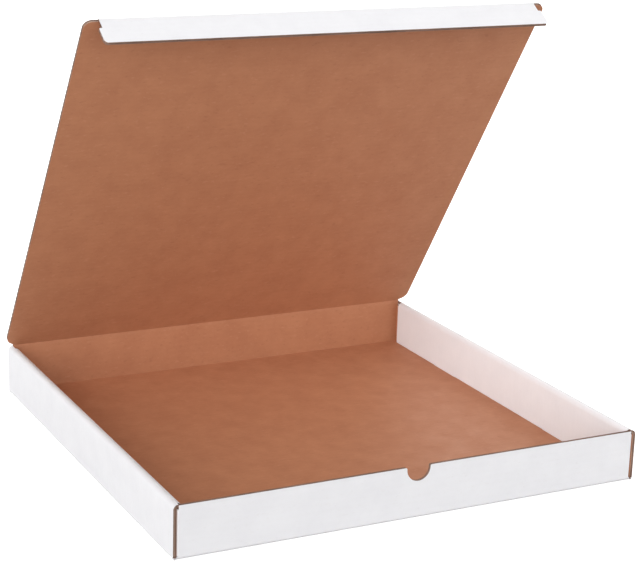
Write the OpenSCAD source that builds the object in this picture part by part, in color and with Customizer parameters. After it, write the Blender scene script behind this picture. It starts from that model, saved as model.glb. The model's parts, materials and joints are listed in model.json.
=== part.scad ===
// Corrugated mailer box with rolled double side walls and a hinged lid with a tuck flap.
// It is one die-cut sheet, folded up without glue or tape. The lid and its flap turn on creases.
// Origin: middle of the tray's underside. +X to the right, +Y to the rear, +Z up. Millimetres.

/* [Board] */
// Thickness of the corrugated board
board_t = 3; // [1.5:0.1:5]
// Play between two layers of board that lie face to face
layer_play = 0.25; // [0.1:0.05:0.6]
// Outer radius of a square fold
crease_r = 2.4; // [0.5:0.1:4]

/* [Tray] */
// Clear width between the double side walls
inner_w = 457; // [250:1:600]
// Clear depth between the front and rear walls
inner_d = 457; // [250:1:600]
// Height of the rolled side walls
wall_h = 51; // [44:1:120]
// How far the front wall stays below the side walls' tops
front_drop = 1; // [0.4:0.1:4]

/* [Thumb notch] */
// Radius of the half-round thumb notch in the front wall
notch_r = 12; // [8:0.1:20]
// Length of the notch's straight sides above the half-round
notch_side = 0.5; // [0.2:0.1:6]
// Radius of the notch's two shoulders
shoulder_r = 1.5; // [0.5:0.1:6]

/* [Corner flaps] */
// Length of each corner flap, trapped inside a side wall
corner_flap_len = 75; // [30:1:110]
// How much a corner flap narrows at its free end, above and below
corner_taper = 4; // [0:0.5:10]

/* [Rolled side panels] */
// Gap between the rear wall and a rolled panel
rear_gap = 8; // [1:0.1:12]
// Locking tabs on each rolled panel
tab_count = 2; // [1:1:4]
// Width of a locking tab
tab_w = 45; // [15:1:55]
// Play all round a tab in its floor slot
tab_play = 0.3; // [0.1:0.05:0.8]
// How far a tab's end stays above the underside
tab_rise = 0.4; // [0.2:0.1:1]

/* [Lid] */
// How far the lid stands open, in degrees from closed
lid_open = 56; // [0:1:180]
// How far the lid reaches past each side wall
lid_over = 3.5; // [0:0.5:10]
// Radius of the lid's corners at the hinge
lid_rear_r = 11; // [2:0.5:20]
// Radius of the lid's front corners
lid_front_r = 8; // [2:0.5:20]
// Play between the closed lid and the side walls' tops
lid_play = 0.4; // [0.2:0.1:1.5]
// Play between a turning panel's cut end and the round crease that it turns on
crease_play = 0.3; // [0.2:0.05:0.8]

/* [Tuck flap] */
// Length of the flap from its crease to its free edge
flap_len = 30; // [22:1:38]
// How far the flap is folded in, in degrees from flat
flap_fold = 90; // [0:1:90]
// How far an ear stands out at each end of the flap
ear_w = 3.25; // [1:0.25:8]
// Length of the relief between the crease and an ear
relief_len = 11; // [5:0.5:16]
// Radius of an ear's shoulder
ear_r = 1.5; // [0.5:0.1:3]
// Radius of the flap's free corners
flap_corner_r = 5; // [1:0.5:6]
// Play between the tucked flap and the front wall
flap_play = 1.6; // [1.4:0.1:4]
// Play between a tucked ear and the board beside it and behind it
ear_play = 0.6; // [0.4:0.1:2]

/* [Hidden] */
$fn = 72;
// Extra length of a cutter past the faces that it cuts
cut = 1;
white_liner = [0.94, 0.94, 0.95];
kraft_liner = [0.66, 0.43, 0.31];

// Folds: a fold's outer radius stays inside the board
fold_r = min(crease_r, 0.8 * board_t);
// A side wall is three boards thick: outer panel, corner flap, inner panel
side_t = 3 * board_t + 2 * layer_play;
outer_w = inner_w + 2 * side_t;
outer_d = inner_d + 2 * board_t;
front_h = wall_h - front_drop;
// The front and rear walls stand between the outer side panels
cross_w = outer_w - 2 * (board_t + layer_play);

// The roll at the top of a side wall
roll_r = side_t / 2;
roll_x = outer_w / 2 - roll_r;
roll_z = wall_h - roll_r;
front_slot = flap_play + board_t + ear_play;
roll_front = -outer_d / 2 + board_t + front_slot;
roll_rear = outer_d / 2 - board_t - rear_gap;
roll_len = roll_rear - roll_front;
inner_x = outer_w / 2 - side_t;
tab_pitch = roll_len / tab_count;

// The lid's crease lies along the middle of the rear wall's rounded top edge
hinge_y = outer_d / 2 - board_t / 2;
hinge_z = wall_h + lid_play + board_t / 2;
// First cut edge of a panel, measured from the crease that it turns on
cut_edge = board_t / 2 + crease_play;
lid_w = outer_w + 2 * lid_over;
// From crease to crease: the closed flap stands flap_play behind the front wall
lid_len = outer_d - 2 * board_t - flap_play;

// The flap's ears pass between the corner flaps at the front
flap_w = cross_w - 2 * (board_t + ear_play);
flap_root_w = flap_w - 2 * ear_w;

// Sweeps a section drawn in Y and Z along X, centred
module along_x(length) {
    rotate([90, 0, 90]) linear_extrude(length, center = true) children();
}

// Sweeps a section drawn in X and Z from one Y to another
module along_y(from, to) {
    translate([0, to, 0]) rotate([90, 0, 0]) linear_extrude(to - from) children();
}

module both_sides() {
    for (side = [0, 1]) mirror([side, 0, 0]) children();
}

// A rectangle centred on X, from y = 0 up, with its lower and upper corners rounded
module rounded_panel(width, length, low_r, high_r) {
    translate([-width / 2, low_r]) square([width, length - low_r - high_r]);
    translate([-width / 2 + low_r, 0]) square([width - 2 * low_r, low_r + cut]);
    translate([-width / 2 + high_r, length - high_r - cut]) square([width - 2 * high_r, high_r + cut]);
    for (side = [-1, 1]) {
        translate([side * (width / 2 - low_r), low_r]) circle(low_r);
        translate([side * (width / 2 - high_r), length - high_r]) circle(high_r);
    }
}

// Front wall, floor and rear wall seen from the side, with rounded folds and a round top crease
module pan_section() {
    translate([-outer_d / 2 + fold_r, 0]) square([outer_d - 2 * fold_r, board_t]);
    for (end = [-1, 1])
        translate([end * (outer_d / 2 - fold_r), fold_r]) circle(fold_r);
    translate([-outer_d / 2, fold_r]) square([board_t, front_h - fold_r]);
    translate([outer_d / 2 - board_t, fold_r]) square([board_t, hinge_z - fold_r]);
    translate([hinge_y, hinge_z]) circle(board_t / 2);
}

// Outline of the front and rear walls seen from above, folded round at the corner flaps
module cross_plan() {
    translate([0, -outer_d / 2]) rounded_panel(cross_w, outer_d, fold_r, fold_r);
}

// The front and rear walls' upper corners are cut away under the rolls of the side walls
module under_rolls() {
    both_sides() translate([roll_x - layer_play, -outer_d / 2 - cut, roll_z])
        cube([roll_r + layer_play + cut, outer_d + 2 * cut, hinge_z + board_t - roll_z]);
}

module pan() {
    difference() {
        intersection() {
            along_x(cross_w) pan_section();
            translate([0, 0, -cut]) linear_extrude(hinge_z + board_t + cut) cross_plan();
        }
        under_rolls();
    }
    // The floor runs on into the folds of the outer side panels
    translate([-outer_w / 2 + fold_r, -outer_d / 2 + board_t, 0])
        cube([outer_w - 2 * fold_r, outer_d - 2 * board_t, board_t]);
}

// A half-round with straight sides and rounded shoulders, hanging from the wall's edge at z = 0
module notch_outline() {
    straight = notch_side + shoulder_r;
    mouth = notch_r + shoulder_r;
    translate([0, -straight]) circle(notch_r);
    translate([-notch_r, -straight]) square([2 * notch_r, straight + cut]);
    difference() {
        translate([-mouth, -shoulder_r]) square([2 * mouth, shoulder_r + cut]);
        for (side = [-1, 1]) translate([side * mouth, -shoulder_r]) circle(shoulder_r);
    }
}

// A corner flap at the front, on the right, folded back inside the side wall
module corner_flap() {
    low = board_t + layer_play;
    start = -outer_d / 2 + fold_r;
    free_end = -outer_d / 2 + corner_flap_len;
    translate([cross_w / 2 - board_t / 2, 0, 0]) along_x(board_t) polygon([
        [start, low], [free_end, low + corner_taper], [free_end, roll_z - corner_taper], [start, roll_z]
    ]);
}

module corner_flaps() {
    both_sides() for (end = [0, 1]) mirror([0, end, 0]) corner_flap();
}

// Outer panel of the right side wall in section, with its rounded bottom fold
module outer_panel_section() {
    translate([outer_w / 2 - board_t, fold_r]) square([board_t, roll_z - fold_r]);
    translate([outer_w / 2 - board_t, 0]) square([board_t - fold_r, fold_r + cut]);
    translate([outer_w / 2 - fold_r, fold_r]) circle(fold_r);
}

// Half-round roll over the top of the right side wall in section
module roll_section() {
    translate([roll_x, roll_z]) intersection() {
        difference() {
            circle(roll_r);
            circle(roll_r - board_t);
        }
        translate([-roll_r, 0]) square([2 * roll_r, roll_r]);
    }
}

// The inner panel hangs from the roll down to the floor
module inner_panel_section() {
    translate([inner_x, board_t + layer_play]) square([board_t, roll_z - board_t - layer_play]);
}

module locking_tab(play, low) {
    translate([inner_x - play, -tab_w / 2 - play, low])
        cube([board_t + 2 * play, tab_w + 2 * play, 2 * board_t - low]);
}

module at_tabs() {
    for (i = [0 : tab_count - 1])
        translate([0, roll_front + (i + 0.5) * tab_pitch, 0]) children();
}

module side_wall() {
    // The outer panel and the roll's outer half run the whole depth, over the front wall's corner
    along_y(-outer_d / 2, outer_d / 2) {
        outer_panel_section();
        intersection() {
            roll_section();
            translate([roll_x, roll_z]) square(roll_r);
        }
    }
    along_y(roll_front, roll_rear) {
        roll_section();
        inner_panel_section();
    }
    at_tabs() locking_tab(0, tab_rise);
}

module tray() {
    color(white_liner) {
        difference() {
            pan();
            both_sides() at_tabs() locking_tab(tab_play, -cut);
            along_y(-outer_d / 2 - cut, -outer_d / 2 + board_t + cut)
                translate([0, front_h]) notch_outline();
        }
        corner_flaps();
        both_sides() side_wall();
    }
}

// Places what is drawn on the closed lid, with the lid's crease at y = 0
module on_lid() {
    translate([0, hinge_y, hinge_z]) rotate([-lid_open, 0, 0]) children();
}

// A panel half a board above and below z = 0, drawn from its far edge back to its crease
module board_panel() {
    translate([0, 0, -board_t / 2]) linear_extrude(board_t) children();
}

module lid() {
    color(kraft_liner) on_lid() {
        board_panel() translate([0, -lid_len])
            rounded_panel(lid_w, lid_len - cut_edge, lid_front_r, lid_rear_r);
        // The round crease that the tuck flap turns on
        translate([-flap_root_w / 2, -lid_len, 0]) rotate([0, 90, 0])
            cylinder(h = flap_root_w, r = board_t / 2);
    }
}

module flap_outline() {
    translate([0, -flap_len])
        rounded_panel(flap_w, flap_len - relief_len, flap_corner_r, ear_r);
    translate([-flap_root_w / 2, -relief_len - cut])
        square([flap_root_w, relief_len + cut - cut_edge]);
}

module tuck_flap() {
    color(white_liner) on_lid()
        translate([0, -lid_len, 0]) rotate([flap_fold, 0, 0]) board_panel() flap_outline();
}

tray();
lid();
tuck_flap();
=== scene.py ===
"""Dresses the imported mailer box: one folded sheet of corrugated board, with its lid and tuck flap."""

import json
import math
from types import SimpleNamespace

import bmesh
import bpy
from bpy.props import FloatProperty, FloatVectorProperty, IntProperty, PointerProperty
from mathutils import Matrix, Vector


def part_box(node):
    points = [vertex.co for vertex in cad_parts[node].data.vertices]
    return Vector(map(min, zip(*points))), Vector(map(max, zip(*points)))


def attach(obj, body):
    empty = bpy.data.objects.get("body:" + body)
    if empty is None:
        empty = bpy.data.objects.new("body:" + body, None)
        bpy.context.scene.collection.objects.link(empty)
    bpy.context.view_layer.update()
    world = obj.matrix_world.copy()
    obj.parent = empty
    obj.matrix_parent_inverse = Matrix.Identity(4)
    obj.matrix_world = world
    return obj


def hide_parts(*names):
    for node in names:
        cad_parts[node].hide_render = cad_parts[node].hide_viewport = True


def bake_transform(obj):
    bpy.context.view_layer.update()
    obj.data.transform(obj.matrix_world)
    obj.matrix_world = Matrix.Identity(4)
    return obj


bl_info = {
    "name": "Corrugated mailer box",
    "version": (1, 0, 0),
    "blender": (4, 5, 0),
    "location": "View3D > Sidebar > Mailer",
    "description": "Folds a mailer box from corrugated board around its packed CAD frame",
    "category": "Add Mesh",
}

# The CAD frame and the places that are read from it
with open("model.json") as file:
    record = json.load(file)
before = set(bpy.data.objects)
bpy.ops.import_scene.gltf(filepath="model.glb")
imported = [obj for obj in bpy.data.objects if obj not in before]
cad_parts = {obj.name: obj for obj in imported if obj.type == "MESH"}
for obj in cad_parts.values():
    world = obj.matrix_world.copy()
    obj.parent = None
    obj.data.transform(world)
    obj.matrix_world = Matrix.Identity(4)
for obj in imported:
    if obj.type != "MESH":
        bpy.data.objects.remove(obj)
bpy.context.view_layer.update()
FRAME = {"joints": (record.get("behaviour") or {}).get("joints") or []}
TRAY_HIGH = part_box("tray")[1]
JOINTS = {joint["name"]: joint for joint in FRAME["joints"]}
HINGE = Vector(JOINTS["lid_hinge"]["pos_m"])
FLAP_CREASE = Vector(JOINTS["tuck_flap_fold"]["pos_m"])
LID_OPEN = math.radians(-JOINTS["lid_hinge"]["range_deg"][0])
FLAP_FOLD = math.radians(JOINTS["tuck_flap_fold"]["range_deg"][1])
LID_LENGTH = (FLAP_CREASE - HINGE).length
FLAT_CREASE = HINGE - Vector((0, LID_LENGTH, 0))
QUARTER = math.pi / 2
UP = Vector((0, 0, 1))

# Order of the finishes on every piece of board
WHITE, KRAFT, EDGE, FLUTE = range(4)
FINISHES = ("white_liner", "kraft_liner", "cut_edge", "flute_paper")
# Where the three soft lights stand, seen from the middle of the floor
KEY_PLACE = (-2.5, -1.1, 1.0)
FILL_PLACE = (-0.2, -2.7, 0.7)
REAR_PLACE = (0.9, 2.3, 1.5)
# Where the white room grows brighter on the way from left to right
ROOM_RANGE = (-0.1, 0.6)
PURE_WHITE = (1.0, 1.0, 1.0, 1.0)
FLOOR_ROUGHNESS = 0.9
# Places of the colour sockets on Blender's mix node: first, second, result
MIX_FIRST, MIX_SECOND, MIX_RESULT = 6, 7, 2
# Noises of the papers: clouds, fibres, fine grain, and patches of rubbed folds
CLOUD_NOISE = {"Scale": 38.0, "Detail": 5.0, "Roughness": 0.62}
FIBRE_NOISE = {"Detail": 3.0, "Roughness": 0.55}
FINE_NOISE = {"Scale": 1700.0, "Detail": 2.0}
PATCH_NOISE = {"Scale": 95.0, "Detail": 6.0, "Roughness": 0.7}
# Fibres are drawn out along X by this stretch of the texture
FIBRE_STRETCH = (0.45, 1.0, 1.0)
# Where each noise starts and ends as a mask
CLOUD_RANGE = (0.3, 0.7)
DARK_RANGE = (0.60, 0.74)
LIGHT_RANGE = (0.40, 0.27)
PATCH_RANGE = (0.42, 0.68)
# Rubbed folds narrow towards their line by this power
WEAR_POWER = 2.0
# Share of the fine grain in the bump, and the strength of the bump
GRAIN_SHARE = 0.35
BUMP_STRENGTH = 0.35
# Looks of the two liners and of raw paper
WHITE_LOOK = SimpleNamespace(fibre_scale=520.0, wear=0.18, dark=0.10, rough=(0.46, 0.58), sheen=0.35,
                             relief=0.00006)
# On the kraft, the painted shade along the flute lines is this many times as strong as on the white.
KRAFT_LOOK = SimpleNamespace(fibre_scale=360.0, wear=0.35, dark=0.26, light=0.24, rib_shade=2.0,
                             rough=(0.58, 0.70), sheen=0.40, relief=0.00009)
RAW_LOOK = SimpleNamespace(dark_tone=0.62, light_tone=1.5, light=0.5, rough=(0.82, 0.95), sheen=0.15,
                           bump=0.5, relief=0.0001)
EDGE_FIBRES, FLUTE_FIBRES = 900.0, 600.0
# Wear of a pressed crease
CREASE_WEAR = 0.6
# Edges sharper than this keep a sharp shade
SHARP_ANGLE = math.radians(32)
# Straight steps in the round of the thumb notch, and in a valley inside a fold
NOTCH_STEPS, VALLEY_STEPS = 64, 2
# A face whose normal has more than this along an axis looks that way
FACING = 0.5
# Two places closer than this are the same
TINY = 1e-5
# Names of the values that a board's points carry for its finishes
ACROSS = "across_flutes"
WORN = "worn"


# Settings that a user may change

def length(name, description, default):
    """A size in metres."""
    return FloatProperty(name=name, description=description, default=default, min=0.0, precision=5,
                         unit="LENGTH", subtype="DISTANCE")


def colour(name, description, default):
    """A colour, as Blender's linear values."""
    return FloatVectorProperty(name=name, description=description, default=default, min=0.0, max=1.0,
                               size=3, subtype="COLOR")


def share(name, description, default):
    """A plain number."""
    return FloatProperty(name=name, description=description, default=default, min=0.0, precision=4)


class BoardSettings(bpy.types.PropertyGroup):
    """Sizes of the corrugated board and its folds."""

    thickness: length("Thickness", "Thickness of the board", 0.003)
    liner: length("Liner", "Thickness of each outer layer, seen at a raw edge", 0.0004)
    flute_paper: length("Flute paper", "Thickness of the wavy middle layer", 0.0003)
    pitch: length("Flute pitch", "Length of one wave of the middle layer", 0.0065)
    play: length("Play", "Gap between two layers of board that lie face to face", 0.00025)
    fold_radius: length("Fold radius", "Outer radius of a square fold", 0.0024)
    valley: length("Valley", "Radius inside a square fold", 0.0005)
    groove: length("Groove", "Depth of a raw edge that lies along the flutes", 0.0018)
    worn_border: length("Worn border", "Width of the pressed border along a cut edge", 0.0018)
    wave_steps: IntProperty(name="Wave steps", description="Straight steps in one wave", default=10, min=4)
    round_steps: IntProperty(name="Round steps", description="Straight steps in a round fold or corner",
                             default=6, min=2)


class TraySettings(bpy.types.PropertyGroup):
    """Sizes of the tray."""

    wall_height: length("Wall height", "Height of the rolled side walls", 0.051)
    front_drop: length("Front drop", "How far the front wall stays below the side walls", 0.001)
    notch_radius: length("Notch radius", "Radius of the half-round thumb notch", 0.012)
    notch_straight: length("Notch sides", "Straight part of the notch's sides", 0.002)
    shoulder: length("Notch shoulder", "Radius of the notch's shoulders", 0.0015)
    corner_flap: length("Corner flap", "Length of a corner flap inside a side wall", 0.075)
    corner_taper: length("Corner taper", "How much a corner flap narrows at each side", 0.004)
    front_slot: length("Front slot", "Gap between the front wall and a rolled panel", 0.0052)
    rear_gap: length("Rear gap", "Gap between the rear wall and a rolled panel", 0.008)
    tab_width: length("Tab width", "Width of a locking tab", 0.045)
    tab_play: length("Tab play", "Gap round a tab in its slot", 0.0003)
    tab_rise: length("Tab rise", "How far a tab ends above the underside", 0.0004)
    tabs: IntProperty(name="Tabs", description="Locking tabs on each rolled panel", default=2, min=1)


class LidSettings(bpy.types.PropertyGroup):
    """Sizes of the lid and its tuck flap."""

    over: length("Overhang", "How far the lid reaches past each side wall", 0.0035)
    rear_radius: length("Rear corners", "Radius of the lid's corners at the hinge", 0.011)
    front_radius: length("Front corners", "Radius of the lid's front corners", 0.008)
    crease_play: length("Crease play", "Gap between a panel's cut end and its crease", 0.0003)
    side_groove: length("Side groove", "Depth of the open flutes along the lid's edge", 0.0012)
    flap_length: length("Flap length", "From the flap's crease to its free edge", 0.030)
    flap_half: length("Flap half width", "Half the flap's width across its ears", 0.23115)
    ear: length("Ear", "How far an ear stands out", 0.00325)
    relief: length("Relief", "From the flap's crease to an ear", 0.011)
    ear_radius: length("Ear radius", "Radius of an ear's shoulder", 0.0015)
    flap_corner: length("Flap corners", "Radius of the flap's free corners", 0.005)
    skin: length("Crease skin", "Thickness of the paper over a crease", 0.00016)
    proud: length("Crease bead", "How far a pressed crease stands proud", 0.00004)
    skin_reach: length("Crease reach", "How far the pressed crease shows beside its line", 0.004)
    turn_reach: length("Crease turn", "Length over which the paper turns, on each side", 0.002)


class PaperSettings(bpy.types.PropertyGroup):
    """Colours and grain of the papers."""

    white: colour("White", "Bleached outer liner", (0.772, 0.768, 0.786))
    white_shade: colour("White shade", "Clouds in the bleached liner", (0.736, 0.731, 0.752))
    # This colour also serves as the painted shade along the flute lines, and as the dark fibres.
    worn_and_rib_shade_white: colour("Worn white", "Bleached liner where a fold has cracked it", (0.56, 0.50, 0.46))
    kraft: colour("Kraft", "Brown inner liner", (0.510, 0.224, 0.116))
    kraft_shade: colour("Kraft shade", "Clouds in the brown liner", (0.452, 0.189, 0.096))
    # This colour also serves as the painted shade along the flute lines.
    dark_fibre_and_rib_shade_kraft: colour("Dark fibres", "Dark fibres in the brown liner", (0.290, 0.105, 0.054))
    kraft_light: colour("Light fibres", "Light fibres in the brown liner", (0.640, 0.335, 0.215))
    edge: colour("Cut edge", "Raw edge of the liners", (0.300, 0.190, 0.145))
    flute: colour("Flute paper", "Wavy middle layer", (0.520, 0.360, 0.280))
    # Strength of the painted shade along the flute lines, which darkens the liners' colour.
    rib_shade: share("Ribs", "How much the flutes show through the liners", 0.016)


class StageSettings(bpy.types.PropertyGroup):
    """Camera, lights and floor."""

    camera_place: FloatVectorProperty(name="Camera place", description="Where the camera stands", size=3,
                                      default=(-0.77943, -1.55006, 0.65872), subtype="TRANSLATION")
    camera_turn: FloatVectorProperty(name="Camera turn", description="Yaw, pitch and roll of the camera",
                                     size=3, subtype="EULER",
                                     default=tuple(math.radians(a) for a in (27.062, 15.999, -1.745)))
    lens: FloatProperty(name="Lens", description="Focal length", default=102.39, unit="CAMERA")
    floor_size: length("Floor size", "Side of the floor", 14.0)
    floor: colour("Floor", "Pale studio floor", (0.98, 0.98, 0.98))
    floor_bounce: colour("Floor bounce", "Light that the floor throws back on the box", (0.60, 0.60, 0.60))
    floor_glow: share("Floor glow", "How much the floor is lifted towards white", 0.42)
    room: share("Room", "Brightness of the white room on the box's left", 0.34)
    right_side: share("Right side", "Brightness of the white room on the box's right", 1.15)
    key: share("Key light", "Strength of the soft light at the front left", 2.80)
    fill: share("Fill light", "Strength of the soft light at the front", 0.58)
    rear: share("Rear light", "Strength of the soft light behind the box", 0.80)
    softness: FloatProperty(name="Softness", description="Width of the soft lights, seen from the box",
                            default=math.radians(50), subtype="ANGLE")


class MailerSettings(bpy.types.PropertyGroup):
    """All settings of the box."""

    board: PointerProperty(type=BoardSettings)
    tray: PointerProperty(type=TraySettings)
    lid: PointerProperty(type=LidSettings)
    paper: PointerProperty(type=PaperSettings)
    stage: PointerProperty(type=StageSettings)


# Modelling by hand: small steps that the pieces share

def near(a, b):
    """True where two places are the same."""
    return abs(a - b) < TINY


def begin():
    """Deselects everything, so that the next operator acts on the new piece alone."""
    bpy.ops.object.select_all(action="DESELECT")


def added(name):
    """The piece that an operator has just added, with its size and place put into its mesh."""
    piece = bpy.context.object
    piece.name = name
    piece.data.name = name
    bpy.ops.object.transform_apply(location=True, rotation=True, scale=True)
    return piece


def add_plane(name, low, high):
    """A plane between two corners at the same height."""
    begin()
    bpy.ops.mesh.primitive_plane_add(size=1, location=(Vector(low) + Vector(high)) / 2)
    bpy.context.object.scale = (high[0] - low[0], high[1] - low[1], 1)
    return added(name)


def edit(piece):
    """Opens a piece in edit mode."""
    begin()
    piece.select_set(True)
    bpy.context.view_layer.objects.active = piece
    bpy.ops.object.mode_set(mode="EDIT")


def leave():
    """Goes back to object mode."""
    bpy.ops.object.mode_set(mode="OBJECT")


def pick(piece, kind, test, finish=None):
    """Selects the vertices, edges or faces whose every point passes the test."""
    bpy.ops.mesh.select_mode(type=kind)
    bpy.ops.mesh.select_all(action="DESELECT")
    form = bmesh.from_edit_mesh(piece.data)
    parts = {"VERT": form.verts, "EDGE": form.edges, "FACE": form.faces}[kind]
    found = 0
    for part in parts:
        points = [part.co] if kind == "VERT" else [corner.co for corner in part.verts]
        if finish is not None and part.material_index != finish:
            continue
        if all(test(point) for point in points):
            part.select_set(True)
            found += 1
    form.select_flush_mode()
    bmesh.update_edit_mesh(piece.data)
    if not found:
        raise RuntimeError(f"{piece.name}: there is nothing to select there")


def cut(place, normal):
    """Cuts new edges through all that is selected, along a plane."""
    bpy.ops.mesh.bisect(plane_co=place, plane_no=normal)


def push(step):
    """Extrudes the selected edges by a step."""
    bpy.ops.mesh.extrude_edges_move(TRANSFORM_OT_translate={"value": step})


def shift(step):
    """Moves what is selected by a step."""
    bpy.ops.transform.translate(value=step)


def roll(centre, axis, angle, steps):
    """Rolls the selected edges round a line. Spin turns left-handed, so its angle is negated."""
    bpy.ops.mesh.spin(steps=steps, angle=-angle, center=centre, axis=axis)


def round_edges(radius, steps):
    """Rounds the selected edges."""
    bpy.ops.mesh.bevel(offset=radius, segments=steps, affect="EDGES")


def round_corners(radius, steps):
    """Rounds the selected corners of a flat sheet."""
    bpy.ops.mesh.bevel(offset=radius, segments=steps, affect="VERTICES")


def apply(piece, kind, **values):
    """Adds a modifier with these values and applies it."""
    begin()
    piece.select_set(True)
    bpy.context.view_layer.objects.active = piece
    step = piece.modifiers.new(kind.lower(), kind)
    for name, value in values.items():
        setattr(step, name, value)
    bpy.ops.object.modifier_apply(modifier=step.name)


def thicken(piece, thickness, offset):
    """Gives a sheet its thickness, with a finish of its own on each side and on the raw edge."""
    apply(piece, "SOLIDIFY", thickness=thickness, offset=offset, use_even_offset=True,
          use_quality_normals=True, material_offset=KRAFT, material_offset_rim=EDGE)


def sink_edge(piece, test, lip, depth):
    """Sinks a raw edge between its two liners, down to the wavy middle layer."""
    pick(piece, "FACE", test, finish=EDGE)
    bpy.ops.mesh.inset(thickness=lip, depth=-depth, use_boundary=True, use_even_offset=True)
    piece.active_material_index = FLUTE
    bpy.ops.object.material_slot_assign()


def turn(piece, angle, pivot):
    """Turns a piece about a line along X through the pivot, and puts the turn into its mesh."""
    begin()
    piece.select_set(True)
    bpy.context.view_layer.objects.active = piece
    centred = Matrix.Rotation(angle, 4, "X") @ Matrix.Translation(-pivot)
    piece.matrix_world = Matrix.Translation(pivot) @ centred
    bpy.ops.object.transform_apply(location=True, rotation=True, scale=True)


def smooth(piece):
    """Smooth shading over the round folds, with sharp edges kept."""
    begin()
    piece.select_set(True)
    bpy.context.view_layer.objects.active = piece
    bpy.ops.object.shade_smooth_by_angle(angle=SHARP_ANGLE)


def mark(piece, name, value):
    """Stores a value at each point of a piece, for its finishes."""
    layer = piece.data.attributes.new(name, "FLOAT", "POINT")
    for place, point in zip(layer.data, piece.data.vertices):
        place.value = value(point.co)


def give_finishes(piece):
    """Gives a piece of board its four finishes."""
    for name in FINISHES:
        piece.data.materials.append(bpy.data.materials[name])


# Tray: floor, walls, corner flaps and rolled side walls, folded from one sheet

def tray_plan(box):
    """Places of the tray's folds and edges, for its right half."""
    board, tray = box.board, box.tray
    side = 3 * board.thickness + 2 * board.play
    plan = SimpleNamespace(half_w=TRAY_HIGH.x, half_d=TRAY_HIGH.y, rear_top=TRAY_HIGH.z)
    plan.inner = plan.half_w - side
    plan.roll_r = side / 2
    plan.roll_x = plan.half_w - plan.roll_r
    plan.roll_z = tray.wall_height - plan.roll_r
    plan.top = tray.wall_height
    plan.front_top = tray.wall_height - tray.front_drop
    plan.cross = plan.half_w - board.thickness - board.play
    plan.under_roll = plan.roll_x - board.play
    plan.low = board.thickness + board.play
    plan.roll_front = -plan.half_d + board.thickness + tray.front_slot
    plan.roll_rear = plan.half_d - board.thickness - tray.rear_gap
    plan.roll_tip = -plan.half_d + board.thickness + board.play
    spacing = (plan.roll_rear - plan.roll_front) / tray.tabs
    plan.tabs = [plan.roll_front + (i + 0.5) * spacing for i in range(tray.tabs)]
    return plan


def open_floor_slots(sheet, box, plan):
    """Cuts the slots for the locking tabs out of the floor."""
    board, tray = box.board, box.tray
    inside = plan.inner - tray.tab_play
    outside = plan.inner + board.thickness + tray.tab_play
    reach = tray.tab_width / 2 + tray.tab_play
    for place in (inside, outside):
        bpy.ops.mesh.select_all(action="SELECT")
        cut((place, 0, 0), (1, 0, 0))
    for middle in plan.tabs:
        for end in (-reach, reach):
            bpy.ops.mesh.select_all(action="SELECT")
            cut((0, middle + end, 0), (0, 1, 0))
    for middle in plan.tabs:
        pick(sheet, "FACE", lambda p: inside - TINY < p.x < outside + TINY
             and abs(p.y - middle) < reach + TINY)
        bpy.ops.mesh.delete(type="FACE")


def fold_cross_wall(sheet, box, plan, end, top):
    """Folds up the front or rear wall, with its corner flap."""
    tray = box.tray
    inward = -math.copysign(tray.corner_flap, end)
    pick(sheet, "EDGE", lambda p: near(p.y, end) and p.x < plan.cross + TINY)
    push((0, 0, plan.low))
    push((0, 0, plan.roll_z - plan.low))
    pick(sheet, "EDGE", lambda p: near(p.y, end) and near(p.z, plan.roll_z)
         and p.x < plan.under_roll + TINY)
    push((0, 0, top - plan.roll_z))
    pick(sheet, "EDGE", lambda p: near(p.y, end) and near(p.x, plan.cross)
         and plan.low - TINY < p.z < plan.roll_z + TINY)
    push((0, inward, 0))
    for height, step in ((plan.low, tray.corner_taper), (plan.roll_z, -tray.corner_taper)):
        pick(sheet, "VERT", lambda p: near(p.y, end + inward) and near(p.x, plan.cross)
             and near(p.z, height))
        shift((0, 0, step))


def roll_side_wall(sheet, box, plan):
    """Folds up the side panel, rolls it over and brings its inner half down to the floor."""
    board, tray = box.board, box.tray
    centre, axis = (plan.roll_x, 0, plan.roll_z), (0, -1, 0)
    pick(sheet, "EDGE", lambda p: near(p.x, plan.half_w) and near(p.z, 0))
    push((0, 0, plan.low))
    push((0, 0, plan.roll_z - plan.low))
    roll(centre, axis, QUARTER, board.round_steps)
    pick(sheet, "EDGE", lambda p: near(p.x, plan.roll_x) and near(p.z, plan.top)
         and plan.roll_tip - TINY < p.y < plan.roll_rear + TINY)
    roll(centre, axis, QUARTER, board.round_steps)
    pick(sheet, "EDGE", lambda p: near(p.x, plan.inner) and near(p.z, plan.roll_z)
         and plan.roll_front - TINY < p.y < plan.roll_rear + TINY)
    push((0, 0, plan.low - plan.roll_z))
    for middle in plan.tabs:
        for end in (-tray.tab_width / 2, tray.tab_width / 2):
            pick(sheet, "FACE", lambda p: near(p.x, plan.inner))
            cut((0, middle + end, 0), (0, 1, 0))
    for middle in plan.tabs:
        pick(sheet, "EDGE", lambda p: near(p.x, plan.inner) and near(p.z, plan.low)
             and abs(p.y - middle) < tray.tab_width / 2 + TINY)
        push((0, 0, tray.tab_rise - plan.low))


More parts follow.
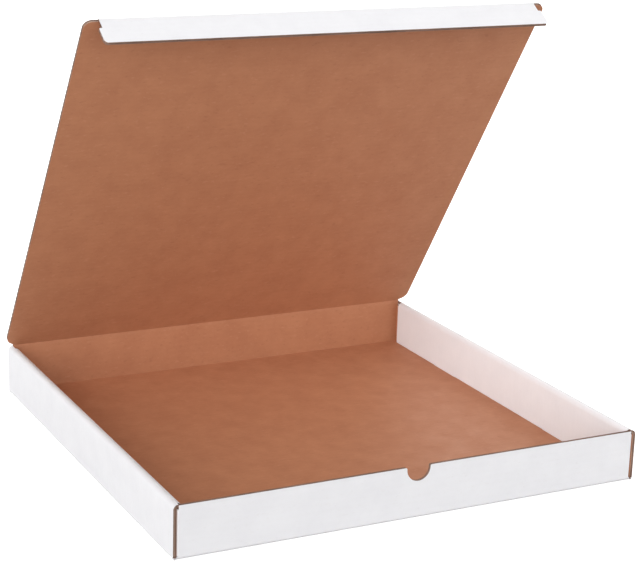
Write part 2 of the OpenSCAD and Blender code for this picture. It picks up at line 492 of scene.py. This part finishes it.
def cut_notch(sheet, box, plan):
    """Cuts the half-round thumb notch out of the front wall and rounds its shoulders."""
    board, tray = box.board, box.tray
    middle = plan.front_top - tray.notch_straight
    begin()
    bpy.ops.mesh.primitive_cylinder_add(vertices=NOTCH_STEPS, radius=tray.notch_radius,
                                        depth=4 * board.thickness,
                                        location=(0, -plan.half_d + board.thickness / 2, middle),
                                        rotation=(QUARTER, 0, 0))
    cutter = added("notch_cutter")
    give_finishes(cutter)
    edit(cutter)
    bpy.ops.mesh.select_all(action="SELECT")
    bpy.ops.mesh.bisect(plane_co=(0, 0, middle), plane_no=(0, 0, 1), use_fill=True, clear_outer=True)
    pick(cutter, "FACE", lambda p: near(p.z, middle))
    bpy.ops.mesh.extrude_region_move(TRANSFORM_OT_translate={"value": (0, 0, 2 * tray.notch_radius)})
    bpy.ops.mesh.select_all(action="SELECT")
    bpy.ops.mesh.normals_make_consistent(inside=False)
    cutter.active_material_index = EDGE
    bpy.ops.object.material_slot_assign()
    leave()
    apply(sheet, "BOOLEAN", operation="DIFFERENCE", solver="EXACT", object=cutter)
    bpy.data.objects.remove(cutter)
    edit(sheet)
    pick(sheet, "EDGE", lambda p: near(abs(p.x), tray.notch_radius) and near(p.z, plan.front_top))
    round_edges(tray.shoulder, board.round_steps)
    leave()


def round_tray_folds(sheet, box, plan):
    """Rounds the folds outside, the valleys inside and the crease along the rear wall's top."""
    board = box.board
    inside_d = plan.half_d - board.thickness
    inside_w = plan.half_w - board.thickness
    edit(sheet)
    pick(sheet, "EDGE", lambda p: near(p.z, 0) and near(abs(p.y), plan.half_d)
         and abs(p.x) < plan.cross + TINY)
    round_edges(board.fold_radius, board.round_steps)
    pick(sheet, "EDGE", lambda p: near(p.z, 0) and near(abs(p.x), plan.half_w))
    round_edges(board.fold_radius, board.round_steps)
    pick(sheet, "EDGE", lambda p: near(abs(p.x), plan.cross) and near(abs(p.y), plan.half_d)
         and plan.low - TINY < p.z < plan.roll_z + TINY)
    round_edges(board.fold_radius, board.round_steps)
    pick(sheet, "EDGE", lambda p: near(p.z, board.thickness) and near(abs(p.y), inside_d)
         and abs(p.x) < plan.inner)
    round_edges(board.valley, VALLEY_STEPS)
    pick(sheet, "EDGE", lambda p: near(p.z, board.thickness) and near(abs(p.x), inside_w))
    round_edges(board.valley, VALLEY_STEPS)
    pick(sheet, "EDGE", lambda p: near(p.z, plan.rear_top) and p.y > 0
         and (near(p.y, plan.half_d) or near(p.y, inside_d)))
    round_edges(board.thickness / 2 - TINY, board.round_steps)
    leave()


def show_tray_edges(sheet, box, plan):
    """Sinks the raw edges that show: the front wall's top, and the ends of the rolled walls."""
    board = box.board
    inside_d = plan.half_d - board.thickness
    edit(sheet)
    sink_edge(sheet, lambda p: p.y < -inside_d + TINY and p.z > plan.roll_z / 2
              and abs(p.x) < plan.under_roll, board.liner, board.groove)
    for end in (-plan.half_d, plan.half_d):
        sink_edge(sheet, lambda p: near(p.y, end) and abs(p.x) > plan.under_roll, board.liner, board.groove)
    for end in (plan.roll_tip, plan.roll_front, plan.roll_rear):
        sink_edge(sheet, lambda p: near(p.y, end) and abs(p.x) > plan.inner - TINY,
                  board.liner, board.groove)
    leave()


def fold_tray(box):
    """The tray, folded up from one sheet as the real one is."""
    board, plan = box.board, tray_plan(box)
    sheet = add_plane("tray_sheet", (0, -plan.half_d, 0), (plan.half_w, plan.half_d, 0))
    give_finishes(sheet)
    edit(sheet)
    for place in (plan.under_roll, plan.cross):
        bpy.ops.mesh.select_all(action="SELECT")
        cut((place, 0, 0), (1, 0, 0))
    for place in (plan.roll_tip, plan.roll_front, plan.roll_rear):
        bpy.ops.mesh.select_all(action="SELECT")
        cut((0, place, 0), (0, 1, 0))
    open_floor_slots(sheet, box, plan)
    fold_cross_wall(sheet, box, plan, -plan.half_d, plan.front_top)
    fold_cross_wall(sheet, box, plan, plan.half_d, plan.rear_top)
    roll_side_wall(sheet, box, plan)
    bpy.ops.mesh.select_all(action="SELECT")
    bpy.ops.mesh.normals_make_consistent(inside=False)
    leave()
    apply(sheet, "MIRROR", use_axis=(True, False, False), use_mirror_merge=True, merge_threshold=TINY)
    floor = min(sheet.data.polygons, key=lambda face: face.center.length)
    if floor.normal.z > 0:
        edit(sheet)
        bpy.ops.mesh.select_all(action="SELECT")
        bpy.ops.mesh.flip_normals()
        leave()
    thicken(sheet, board.thickness, -1.0)
    cut_notch(sheet, box, plan)
    round_tray_folds(sheet, box, plan)
    show_tray_edges(sheet, box, plan)
    return sheet, plan


# Lid and tuck flap: drawn flat and closed, then turned on their creases

def lid_reach(box):
    """Half the width of the lid's rounded outline, by the distance from its crease."""
    lid = box.lid
    half = TRAY_HIGH.x + lid.over
    front = HINGE.y - LID_LENGTH
    rear = HINGE.y - box.board.thickness / 2 - lid.crease_play

    def reach(y):
        for end, radius in ((front, lid.front_radius), (rear, lid.rear_radius)):
            inside = radius - abs(y - end)
            if inside > 0:
                return half - radius + math.sqrt(max(radius * radius - inside * inside, 0.0))
        return half

    return reach, half, front, rear


def wave_strips(name, box, reach, from_y, to_y, depth):
    """The wavy middle layer along both sides of a flat panel, from its cut edge inwards."""
    board = box.board
    steps = math.ceil((to_y - from_y) / board.pitch * board.wave_steps)
    begin()
    bpy.ops.mesh.primitive_grid_add(x_subdivisions=1, y_subdivisions=steps, size=1,
                                    location=(0, (from_y + to_y) / 2, HINGE.z))
    bpy.context.object.scale = (1, to_y - from_y, 1)
    strip = added(name)
    give_finishes(strip)
    swing = board.thickness / 2 - board.liner - board.flute_paper / 2
    for point in strip.data.vertices:
        rim = reach(point.co.y) - board.liner / 2
        point.co.x = rim if point.co.x > 0 else rim - depth
        point.co.z += swing * math.cos(2 * math.pi * point.co.y / board.pitch)
    for face in strip.data.polygons:
        face.material_index = FLUTE
    apply(strip, "SOLIDIFY", thickness=board.flute_paper, offset=0.0)
    apply(strip, "MIRROR", use_axis=(True, False, False), use_mirror_merge=False)
    return strip


def press_border(piece, box, test):
    """Presses a narrow border into a panel's two faces, where the die has cut it."""
    pick(piece, "FACE", test)
    bpy.ops.mesh.inset(thickness=box.board.worn_border, use_boundary=True, use_even_offset=True)


def cut_lid(box):
    """The lid's panel, flat and closed: liners, open flutes at the sides, and the flap's round crease."""
    board, lid = box.board, box.lid
    reach, half, front, rear = lid_reach(box)
    sheet = add_plane("lid_panel", (-half, front, HINGE.z), (half, rear, HINGE.z))
    give_finishes(sheet)
    edit(sheet)
    for end, radius in ((front, lid.front_radius), (rear, lid.rear_radius)):
        pick(sheet, "VERT", lambda p: near(p.y, end))
        round_corners(radius, 2 * board.round_steps)
    leave()
    thicken(sheet, board.thickness, 0.0)
    edit(sheet)
    for level in (-board.thickness / 2, board.thickness / 2):
        press_border(sheet, box, lambda p: near(p.z, HINGE.z + level))
    sink_edge(sheet, lambda p: True, board.liner, lid.side_groove)
    leave()
    flutes = wave_strips("lid_flutes", box, reach, front + board.groove, rear - board.groove,
                         lid.side_groove)
    begin()
    bpy.ops.mesh.primitive_cylinder_add(vertices=8 * board.round_steps, radius=board.thickness / 2,
                                        depth=2 * (lid.flap_half - lid.ear), location=FLAT_CREASE,
                                        rotation=(0, QUARTER, 0))
    nose = added("lid_nose")
    give_finishes(nose)
    for face in nose.data.polygons:
        liner = WHITE if face.normal.z > 0 else KRAFT
        face.material_index = EDGE if abs(face.normal.x) > FACING else liner
    begin()
    nose.select_set(True)
    sheet.select_set(True)
    bpy.context.view_layer.objects.active = sheet
    bpy.ops.object.join()
    return sheet, flutes


def flap_reach(box):
    """Half the width of the flap's ears, by the distance from its crease."""
    lid = box.lid
    free = FLAT_CREASE.y - lid.flap_length

    def reach(y):
        inside = lid.flap_corner - (y - free)
        if inside <= 0:
            return lid.flap_half
        corner = max(lid.flap_corner ** 2 - inside * inside, 0.0)
        return lid.flap_half - lid.flap_corner + math.sqrt(corner)

    return reach, free


def cut_flap(box):
    """The tuck flap's panel, flat, with an ear at each end."""
    board, lid = box.board, box.lid
    reach, free = flap_reach(box)
    root = lid.flap_half - lid.ear
    start = FLAT_CREASE.y - board.thickness / 2 - lid.crease_play
    ear = FLAT_CREASE.y - lid.relief
    sheet = add_plane("tuck_flap_panel", (-root, free, HINGE.z), (root, start, HINGE.z))
    give_finishes(sheet)
    edit(sheet)
    bpy.ops.mesh.select_all(action="SELECT")
    cut((0, ear, 0), (0, 1, 0))
    for side in (-1, 1):
        pick(sheet, "EDGE", lambda p: near(p.x, side * root) and p.y < ear + TINY)
        push((side * lid.ear, 0, 0))
    pick(sheet, "VERT", lambda p: near(abs(p.x), lid.flap_half) and near(p.y, free))
    round_corners(lid.flap_corner, board.round_steps)
    pick(sheet, "VERT", lambda p: near(abs(p.x), lid.flap_half) and near(p.y, ear))
    round_corners(lid.ear_radius, board.round_steps)
    leave()
    thicken(sheet, board.thickness, 0.0)
    edit(sheet)
    sink_edge(sheet, lambda p: p.y < start - TINY or abs(p.x) > root - TINY, board.liner, board.groove)
    leave()
    flutes = wave_strips("tuck_flap_flutes", box, reach, free + board.groove, ear - board.groove,
                         board.groove)
    return sheet, flutes


# Creases: skins of paper over the lines that the lid and the flap turn on

def crease_skin(name, box, pivot, along, side, angle, half, finish):
    """A pressed skin of paper over a crease, from one panel round its line to the next."""
    board, lid = box.board, box.lid
    radius = board.thickness / 2 + lid.proud
    across = Vector((1, 0, 0))
    start = pivot - along * lid.skin_reach
    begin()
    bpy.ops.mesh.primitive_plane_add(size=1)
    frame = Matrix((across, along, side)).transposed().to_4x4()
    middle = (start + pivot) / 2 + side * radius
    sized = Matrix.Diagonal((2 * half, lid.skin_reach, 1, 1))
    bpy.context.object.matrix_world = Matrix.Translation(middle) @ frame @ sized
    skin = added(name)
    give_finishes(skin)
    for face in skin.data.polygons:
        face.material_index = finish
    line = pivot + side * radius
    edit(skin)
    pick(skin, "EDGE", lambda p: (p - start).dot(along) < TINY)
    shift(-side * (lid.proud + lid.skin / 2))
    pick(skin, "EDGE", lambda p: abs((p - line).dot(along)) < TINY)
    roll(pivot, across, angle, board.round_steps)
    turned = Matrix.Rotation(angle, 3, "X")
    push(turned @ along * lid.skin_reach)
    shift(-(turned @ side) * (lid.proud + lid.skin / 2))
    bpy.ops.mesh.select_all(action="SELECT")
    bpy.ops.mesh.normals_make_consistent(inside=False)
    leave()
    apply(skin, "SOLIDIFY", thickness=lid.skin, offset=0.0)
    return skin


# Finishes: shared effects as node groups, then the papers

def new_group(name, inputs, outputs):
    """An empty shader node group with these sockets."""
    tree = bpy.data.node_groups.new(name, "ShaderNodeTree")
    for label, kind, default in inputs:
        tree.interface.new_socket(label, in_out="INPUT", socket_type=kind).default_value = default
    for label, kind in outputs:
        tree.interface.new_socket(label, in_out="OUTPUT", socket_type=kind)
    return tree, tree.nodes.new("NodeGroupInput"), tree.nodes.new("NodeGroupOutput")


def node(tree, kind, settings=None, **links):
    """A node with its settings. Each link is a socket of another node, or a plain value."""
    made = tree.nodes.new(kind)
    for name, value in (settings or {}).items():
        setattr(made, name, value)
    for name, value in links.items():
        label = name.replace("_", " ").strip()
        socket = made.inputs[int(label)] if label.isdigit() else made.inputs[label]
        if isinstance(value, bpy.types.NodeSocket):
            tree.links.new(value, socket)
        else:
            socket.default_value = value
    return made


def ramp(tree, value, low, high, to_low=0.0, to_high=1.0):
    """Maps a value from one range to another, clamped."""
    made = node(tree, "ShaderNodeMapRange", Value=value)
    for label, number in (("From Min", low), ("From Max", high), ("To Min", to_low), ("To Max", to_high)):
        made.inputs[label].default_value = number
    return made.outputs["Result"]


def mix(tree, factor, first, second):
    """Mixes two colours."""
    made = node(tree, "ShaderNodeMix", {"data_type": "RGBA"})
    sockets = (made.inputs["Factor"], made.inputs[MIX_FIRST], made.inputs[MIX_SECOND])
    for socket, value in zip(sockets, (factor, first, second)):
        if isinstance(value, bpy.types.NodeSocket):
            tree.links.new(value, socket)
        else:
            socket.default_value = (*value, 1.0) if hasattr(value, "__len__") else value
    return made.outputs[MIX_RESULT]


def times(tree, first, second):
    """Multiplies two values."""
    return node(tree, "ShaderNodeMath", {"operation": "MULTIPLY"}, _0=first, _1=second).outputs[0]


def plus(tree, first, second):
    """Adds two values."""
    return node(tree, "ShaderNodeMath", {"operation": "ADD"}, _0=first, _1=second).outputs[0]


def make_grain_group():
    """Clouds and fibres of a sheet of paper, drawn out along the machine's direction."""
    outputs = [(label, "NodeSocketFloat") for label in ("Clouds", "Dark Fibres", "Light Fibres", "Height")]
    scale = ("Fibre Scale", "NodeSocketFloat", WHITE_LOOK.fibre_scale)
    tree, given, out = new_group("paper_grain", [scale], outputs)
    place = tree.nodes.new("ShaderNodeTexCoord").outputs["Object"]
    drawn = node(tree, "ShaderNodeMapping", Vector=place)
    drawn.inputs["Scale"].default_value = FIBRE_STRETCH
    drawn = drawn.outputs["Vector"]
    clouds = node(tree, "ShaderNodeTexNoise", Vector=place, **CLOUD_NOISE)
    fibre_scale = given.outputs["Fibre Scale"]
    fibres = node(tree, "ShaderNodeTexNoise", Vector=drawn, Scale=fibre_scale, **FIBRE_NOISE)
    fine = node(tree, "ShaderNodeTexNoise", Vector=drawn, **FINE_NOISE)
    tree.links.new(ramp(tree, clouds.outputs["Fac"], *CLOUD_RANGE), out.inputs["Clouds"])
    tree.links.new(ramp(tree, fibres.outputs["Fac"], *DARK_RANGE), out.inputs["Dark Fibres"])
    tree.links.new(ramp(tree, fibres.outputs["Fac"], *LIGHT_RANGE), out.inputs["Light Fibres"])
    tree.links.new(fine.outputs["Fac"], out.inputs["Height"])


def make_ribs_group(box):
    """The flutes as they show through a liner, from the distance across them that each point carries: a
    wave for the bump and for the painted shade along the flutes.
    """
    tree, _, out = new_group("flute_ribs", [], [("Rib", "NodeSocketFloat")])
    across = node(tree, "ShaderNodeAttribute", {"attribute_name": ACROSS}).outputs["Fac"]
    angle = times(tree, across, 2 * math.pi / box.board.pitch)
    wave = node(tree, "ShaderNodeMath", {"operation": "COSINE"}, _0=angle).outputs[0]
    tree.links.new(ramp(tree, wave, -1.0, 1.0), out.inputs["Rib"])


def make_wear_group():
    """Rubbed folds: a broken line along the points that carry wear."""
    amount = ("Amount", "NodeSocketFloat", WHITE_LOOK.wear)
    tree, given, out = new_group("rubbed_folds", [amount], [("Mask", "NodeSocketFloat")])
    worn = node(tree, "ShaderNodeAttribute", {"attribute_name": WORN}).outputs["Fac"]
    place = tree.nodes.new("ShaderNodeTexCoord").outputs["Object"]
    patchy = node(tree, "ShaderNodeTexNoise", Vector=place, **PATCH_NOISE)
    broken = ramp(tree, patchy.outputs["Fac"], *PATCH_RANGE)
    sharp = node(tree, "ShaderNodeMath", {"operation": "POWER"}, _0=worn, _1=WEAR_POWER).outputs[0]
    tree.links.new(times(tree, times(tree, sharp, broken), given.outputs["Amount"]), out.inputs["Mask"])


def new_finish(name):
    """An empty material with its shader."""
    made = bpy.data.materials.new(name)
    made.use_nodes = True
    return made.node_tree, made.node_tree.nodes["Principled BSDF"]


def grouped(tree, name, **values):
    """A node that places a group in a material."""
    made = tree.nodes.new("ShaderNodeGroup")
    made.node_tree = bpy.data.node_groups[name]
    for label, value in values.items():
        made.inputs[label.replace("_", " ")].default_value = value
    return made


def raise_paper(tree, shader, grain, rib, depth):
    """Bump from the paper's grain and the flutes below it."""
    height = plus(tree, times(tree, grain, GRAIN_SHARE), rib)
    bump = node(tree, "ShaderNodeBump", Height=height, Strength=BUMP_STRENGTH, Distance=depth)
    tree.links.new(bump.outputs["Normal"], shader.inputs["Normal"])


def dull(tree, shader, value, look):
    """Roughness that follows a value of the paper, and its sheen."""
    tree.links.new(ramp(tree, value, 0.0, 1.0, *look.rough), shader.inputs["Roughness"])
    shader.inputs["Specular IOR Level"].default_value = look.sheen


def make_white(paper):
    """Bleached liner outside: faint clouds, few fibres, the flutes' wave as bump and as painted shade, and
    rubbed folds.
    """
    look = WHITE_LOOK
    tree, shader = new_finish("white_liner")
    grain = grouped(tree, "paper_grain", Fibre_Scale=look.fibre_scale)
    rib = grouped(tree, "flute_ribs").outputs["Rib"]
    wear = grouped(tree, "rubbed_folds", Amount=look.wear).outputs["Mask"]
    base = mix(tree, grain.outputs["Clouds"], paper.white, paper.white_shade)
    base = mix(tree, times(tree, grain.outputs["Dark Fibres"], look.dark), base, paper.worn_and_rib_shade_white)
    # Painted shade: the white darkens along each flute line.
    base = mix(tree, times(tree, rib, paper.rib_shade), base, paper.worn_and_rib_shade_white)
    base = mix(tree, wear, base, paper.worn_and_rib_shade_white)
    tree.links.new(base, shader.inputs["Base Color"])
    dull(tree, shader, grain.outputs["Clouds"], look)
    raise_paper(tree, shader, grain.outputs["Height"], rib, look.relief)


def make_kraft(paper):
    """Brown liner inside: clouds, dark and light fibres, the flutes' wave as bump and as painted shade."""
    look = KRAFT_LOOK
    tree, shader = new_finish("kraft_liner")
    grain = grouped(tree, "paper_grain", Fibre_Scale=look.fibre_scale)
    rib = grouped(tree, "flute_ribs").outputs["Rib"]
    wear = grouped(tree, "rubbed_folds", Amount=look.wear).outputs["Mask"]
    base = mix(tree, grain.outputs["Clouds"], paper.kraft, paper.kraft_shade)
    base = mix(tree, times(tree, grain.outputs["Dark Fibres"], look.dark), base, paper.dark_fibre_and_rib_shade_kraft)
    base = mix(tree, times(tree, grain.outputs["Light Fibres"], look.light), base, paper.kraft_light)
    # Painted shade: the kraft darkens along each flute line.
    base = mix(tree, times(tree, rib, look.rib_shade * paper.rib_shade), base, paper.dark_fibre_and_rib_shade_kraft)
    base = mix(tree, wear, base, paper.kraft_light)
    tree.links.new(base, shader.inputs["Base Color"])
    dull(tree, shader, grain.outputs["Clouds"], look)
    raise_paper(tree, shader, grain.outputs["Height"], rib, look.relief)


def make_raw(name, tint, scale):
    """Raw paper at a cut: torn fibres that differ in tone."""
    look = RAW_LOOK
    tree, shader = new_finish(name)
    grain = grouped(tree, "paper_grain", Fibre_Scale=scale)
    dark = [look.dark_tone * part for part in tint]
    light = [look.light_tone * part for part in tint]
    base = mix(tree, grain.outputs["Clouds"], tint, dark)
    base = mix(tree, times(tree, grain.outputs["Light Fibres"], look.light), base, light)
    tree.links.new(base, shader.inputs["Base Color"])
    dull(tree, shader, grain.outputs["Height"], look)
    height = grain.outputs["Height"]
    bump = node(tree, "ShaderNodeBump", Height=height, Strength=look.bump, Distance=look.relief)
    tree.links.new(bump.outputs["Normal"], shader.inputs["Normal"])


def make_finishes(box):
    """All finishes of the box, built once."""
    make_grain_group()
    make_ribs_group(box)
    make_wear_group()
    make_white(box.paper)
    make_kraft(box.paper)
    make_raw("cut_edge", box.paper.edge, EDGE_FIBRES)
    make_raw("flute_paper", box.paper.flute, FLUTE_FIBRES)


# Stage: a white room that looks pure white to the camera

def light_room(context, stage):
    """A white room: pure white to the camera, and as a light softer on the left than on the right."""
    world = bpy.data.worlds.new("studio_room")
    world.use_nodes = True
    tree = world.node_tree
    seen = tree.nodes.new("ShaderNodeLightPath").outputs["Is Camera Ray"]
    back = tree.nodes["Background"]
    back.inputs["Color"].default_value = PURE_WHITE
    way = tree.nodes.new("ShaderNodeTexCoord").outputs["Generated"]
    rightward = node(tree, "ShaderNodeSeparateXYZ", Vector=way).outputs["X"]
    glow = ramp(tree, rightward, *ROOM_RANGE, stage.room, stage.right_side)
    strength = node(tree, "ShaderNodeMath", {"operation": "MAXIMUM"}, _0=glow, _1=seen).outputs[0]
    tree.links.new(strength, back.inputs["Strength"])
    context.scene.world = world


# Operators: one for each piece or group of pieces, and one for the stage

class MAILER_OT_papers(bpy.types.Operator):
    """Makes the white and kraft liners and the raw edge"""

    bl_idname = "mailer.papers"
    bl_label = "Papers"

    def execute(self, context):
        make_finishes(context.scene.mailer)
        return {"FINISHED"}


class MAILER_OT_tray(bpy.types.Operator):
    """Folds the tray: floor, walls, corner flaps and rolled side walls"""

    bl_idname = "mailer.tray"
    bl_label = "Tray"

    def execute(self, context):
        box = context.scene.mailer
        sheet, plan = fold_tray(box)
        thick = box.board.thickness

        def across(p):
            cross_wall = abs(p.y) > plan.half_d - thick - TINY and abs(p.x) < plan.cross + TINY
            corner = plan.cross - thick - TINY < abs(p.x) < plan.cross + TINY and p.z > thick + TINY
            return math.copysign(plan.half_d + p.z, p.y) if cross_wall or corner else p.y

        def worn(p):
            fold = box.board.fold_radius + TINY
            outer_d = abs(p.y) > plan.half_d - fold
            outer_w = abs(p.x) > plan.half_w - fold
            bottom = p.z < fold and (outer_d or outer_w)
            return 1.0 if bottom else 0.0

        mark(sheet, ACROSS, across)
        mark(sheet, WORN, worn)
        smooth(sheet)
        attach(sheet, "tray")
        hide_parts("tray")
        return {"FINISHED"}


class MAILER_OT_lid(bpy.types.Operator):
    """Cuts the lid with its open flutes, and turns it on its crease"""

    bl_idname = "mailer.lid"
    bl_label = "Lid"

    def execute(self, context):
        box = context.scene.mailer
        reach, _, front, rear = lid_reach(box)
        border = box.board.worn_border / 2

        def worn(p):
            inside = front + border < p.y < rear - border and abs(p.x) < reach(p.y) - border
            return 0.0 if inside else 1.0

        sheet, flutes = cut_lid(box)
        for piece in (sheet, flutes):
            mark(piece, ACROSS, lambda p: p.y)
            mark(piece, WORN, worn)
            turn(piece, -LID_OPEN, HINGE)
            smooth(piece)
            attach(piece, "lid")
        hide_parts("lid")
        return {"FINISHED"}


class MAILER_OT_tuck_flap(bpy.types.Operator):
    """Cuts the tuck flap with its ears, and folds it in"""

    bl_idname = "mailer.tuck_flap"
    bl_label = "Tuck flap"

    def execute(self, context):
        box = context.scene.mailer
        sheet, flutes = cut_flap(box)
        for piece in (sheet, flutes):
            mark(piece, ACROSS, lambda p: p.y)
            mark(piece, WORN, lambda p: 0.0)
            turn(piece, FLAP_FOLD, FLAT_CREASE)
            turn(piece, -LID_OPEN, HINGE)
            smooth(piece)
            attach(piece, "tuck_flap")
        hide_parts("tuck_flap")
        return {"FINISHED"}


class MAILER_OT_creases(bpy.types.Operator):
    """Presses the creases that the lid and the tuck flap turn on"""

    bl_idname = "mailer.creases"
    bl_label = "Creases"

    def execute(self, context):
        box = context.scene.mailer
        lid = box.lid
        lid_way = Matrix.Rotation(-LID_OPEN, 3, "X") @ Vector((0, -1, 0))
        lid_side = Matrix.Rotation(-LID_OPEN, 3, "X") @ UP
        flap_way = Matrix.Rotation(FLAP_FOLD, 3, "X") @ lid_way
        hinge_half = TRAY_HIGH.x + lid.over - lid.rear_radius
        flap_half = lid.flap_half - lid.ear
        creases = (
            ("hinge_crease", HINGE, UP, Vector((0, 1, 0)), QUARTER - LID_OPEN, hinge_half, lid_way,
             ("tray", "lid"), "lid_board"),
            ("flap_crease", FLAP_CREASE, lid_way, lid_side, FLAP_FOLD, flap_half, flap_way,
             ("lid", "tuck_flap"), "flap_board"),
        )
        for name, pivot, along, side, angle, half, onward, bodies, slot in creases:
            for face, facing, finish in (("outside", side, WHITE), ("inside", -side, KRAFT)):
                skin = crease_skin(f"{name}_{face}", box, pivot, along, facing, angle, half, finish)
                mark(skin, ACROSS, lambda p: 0.0)
                mark(skin, WORN, lambda p: CREASE_WEAR)
                smooth(skin)
                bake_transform(skin)
        return {"FINISHED"}


class MAILER_OT_stage(bpy.types.Operator):
    """Sets the floor, the lights and the camera"""

    bl_idname = "mailer.stage"
    bl_label = "Stage"

    def execute(self, context):
        stage = context.scene.mailer.stage
        half = stage.floor_size / 2
        floor = add_plane("studio_floor", (-half, -half, 0), (half, half, 0))
        tree, shader = new_finish("pale_floor")
        seen = tree.nodes.new("ShaderNodeLightPath").outputs["Is Camera Ray"]
        tree.links.new(mix(tree, seen, stage.floor_bounce, stage.floor), shader.inputs["Base Color"])
        glow = ramp(tree, seen, 0.0, 1.0, 0.0, stage.floor_glow)
        tree.links.new(glow, shader.inputs["Emission Strength"])
        shader.inputs["Emission Color"].default_value = PURE_WHITE
        shader.inputs["Roughness"].default_value = FLOOR_ROUGHNESS
        shader.inputs["Specular IOR Level"].default_value = 0.0
        floor.data.materials.append(bpy.data.materials["pale_floor"])
        light_room(context, stage)
        lights = (("key", stage.key, KEY_PLACE), ("fill", stage.fill, FILL_PLACE),
                  ("rear", stage.rear, REAR_PLACE))
        for name, strength, place in lights:
            begin()
            bpy.ops.object.light_add(type="SUN", location=place)
            light = context.object
            light.name = f"{name}_light"
            light.data.energy = strength
            light.data.angle = stage.softness
            light.rotation_euler = (-Vector(place)).to_track_quat("-Z", "Y").to_euler()
        yaw, pitch, tilt = stage.camera_turn
        begin()
        bpy.ops.object.camera_add(location=stage.camera_place)
        camera = context.object
        look = Matrix.Rotation(-yaw, 4, "Z") @ Matrix.Rotation(QUARTER - pitch, 4, "X")
        camera.rotation_euler = (look @ Matrix.Rotation(-tilt, 4, "Z")).to_euler()
        camera.data.lens = stage.lens
        context.scene.camera = camera
        context.scene.view_settings.view_transform = "Standard"
        return {"FINISHED"}


class MAILER_PT_panel(bpy.types.Panel):
    """Lists the box's sizes, colours and steps"""

    bl_idname = "MAILER_PT_panel"
    bl_label = "Corrugated mailer box"
    bl_space_type = "VIEW_3D"
    bl_region_type = "UI"
    bl_category = "Mailer"

    def draw(self, context):
        box = context.scene.mailer
        for group in (box.board, box.tray, box.lid, box.paper, box.stage):
            part = self.layout.box()
            for name in group.bl_rna.properties.keys():
                if name not in ("rna_type", "name"):
                    part.prop(group, name)
        for step in STEPS:
            self.layout.operator(step.bl_idname)


SETTINGS = (BoardSettings, TraySettings, LidSettings, PaperSettings, StageSettings, MailerSettings)
STEPS = (MAILER_OT_papers, MAILER_OT_tray, MAILER_OT_lid, MAILER_OT_tuck_flap, MAILER_OT_creases,
         MAILER_OT_stage)


def register():
    """Registers the settings, the steps and the panel."""
    for part in (*SETTINGS, *STEPS, MAILER_PT_panel):
        bpy.utils.register_class(part)
    bpy.types.Scene.mailer = PointerProperty(type=MailerSettings)


def unregister():
    """Takes the settings, the steps and the panel away again."""
    del bpy.types.Scene.mailer
    for part in (MAILER_PT_panel, *reversed(STEPS), *reversed(SETTINGS)):
        bpy.utils.unregister_class(part)


def main():
    """Builds the box and its stage."""
    register()
    bpy.ops.mailer.papers()
    bpy.ops.mailer.tray()
    bpy.ops.mailer.lid()
    bpy.ops.mailer.tuck_flap()
    bpy.ops.mailer.creases()
    bpy.ops.mailer.stage()


if __name__ == "__main__":
    main()
